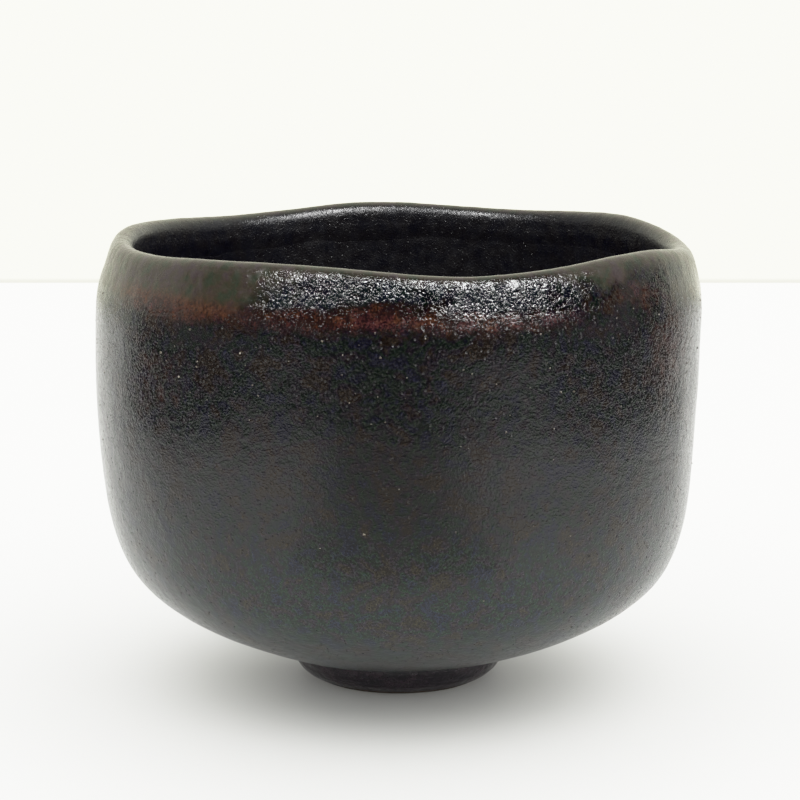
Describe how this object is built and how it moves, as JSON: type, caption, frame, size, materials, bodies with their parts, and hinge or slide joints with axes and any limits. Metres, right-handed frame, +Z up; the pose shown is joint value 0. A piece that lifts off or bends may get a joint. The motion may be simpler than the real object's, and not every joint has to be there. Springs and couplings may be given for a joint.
{
  "type": "matcha bowl",
  "caption": "Squat hand-formed tea bowl with a softly wavy, inward-curled lip, a full rounded wall and a low ring foot, for whisking and drinking powdered tea.",
  "frame": {"origin": "middle of the foot's contact ring, on the table", "axes": "+Z up out of the bowl's mouth, -Y towards the front, where the lip dips and the curtain glaze hangs, +X to the right seen from the front"},
  "size_m": [0.1144, 0.1143, 0.0858],
  "materials": {
    "clay": "bare biscuit clay, matte, dark brown",
    "base_glaze": "black glaze, half matte, fine citron-skin texture",
    "curtain_glaze": "black glaze, glossy and rippled, red-brown where it thins at its edge",
    "inner_glaze": "black glaze, soft gloss",
    "foot_glaze": "thin black glaze, slight gloss"
  },
  "bodies": {
    "root": {"clay_body": "clay", "foot_ring": "clay", "outer_glaze": "base_glaze", "rim_glaze": "curtain_glaze", "inner_glaze": "inner_glaze", "foot_glaze": "foot_glaze"}
  },
  "joints": []
}
